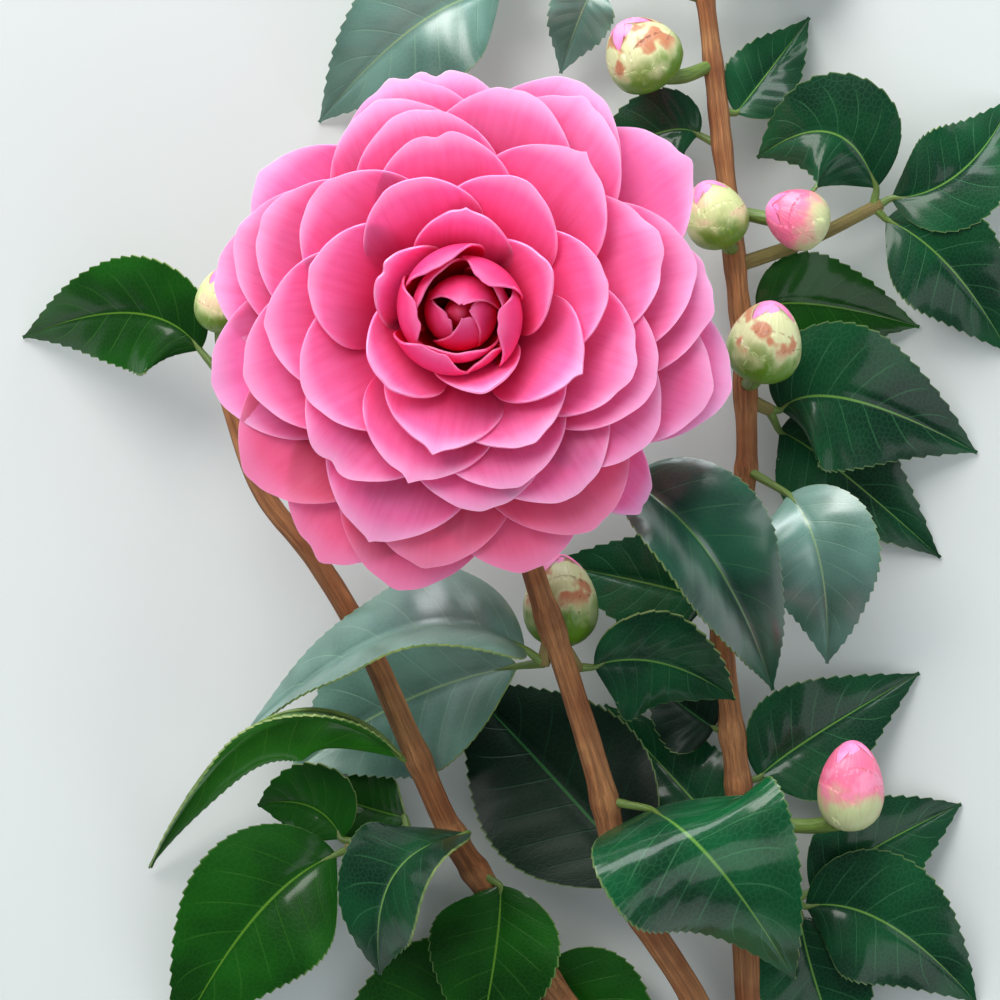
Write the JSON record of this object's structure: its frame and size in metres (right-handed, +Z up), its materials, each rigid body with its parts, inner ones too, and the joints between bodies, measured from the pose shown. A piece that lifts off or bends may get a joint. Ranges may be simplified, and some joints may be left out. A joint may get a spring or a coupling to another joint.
{
  "type": "cut flowering camellia branch",
  "caption": "Cut branch of camellia in bloom: a forked woody stem with an open double pink flower, scaly buds and glossy toothed leaves, lying down.",
  "frame": {"origin": "on the surface that the branch lies on, under the middle of its bounding box", "axes": "+Y from the cut end towards the tips of the branch, +Z up, the way the flower faces, +X to the right"},
  "size_m": [0.19, 0.2914, 0.0851],
  "materials": {
    "bark": "dry tan-brown bark with fine lengthwise fissures",
    "petal": null,
    "leaf": null,
    "bud": null
  },
  "bodies": {
    "root": {"main_stem": "bark", "bloom_stem": "bark", "left_stem": "bark", "right_stem": "bark", "bloom": "petal", "bud_behind_stem": "bud", "bud_top": "bud", "bud_upper": "bud", "bud_middle": "bud", "bud_pink_upper": "bud", "bud_pink_low": "bud", "bud_left_tip": "bud", "spray_left_shoulder": "leaf", "spray_right_shoulder": "leaf", "leaf_front": "leaf", "leaf_behind": "leaf", "leaf_arching": "leaf", "spray_lower_left": "leaf", "leaf_left_front": "leaf", "leaf_low_centre": "leaf", "spray_fork": "leaf", "spray_under_bloom": "leaf", "leaf_right_hanging": "leaf", "spray_right_middle": "leaf", "leaf_right_upper": "leaf", "spray_upper_right": "leaf", "leaf_upper_left": "leaf", "leaf_upper_right": "leaf", "spray_tip": "leaf", "spray_top_left": "leaf", "leaf_far_left": "leaf", "spray_lower_right": "leaf", "leaf_right_low": "leaf", "leaf_between": "leaf", "leaf_between_low": "leaf", "leaf_under_bloom": "leaf"}
  },
  "joints": []
}
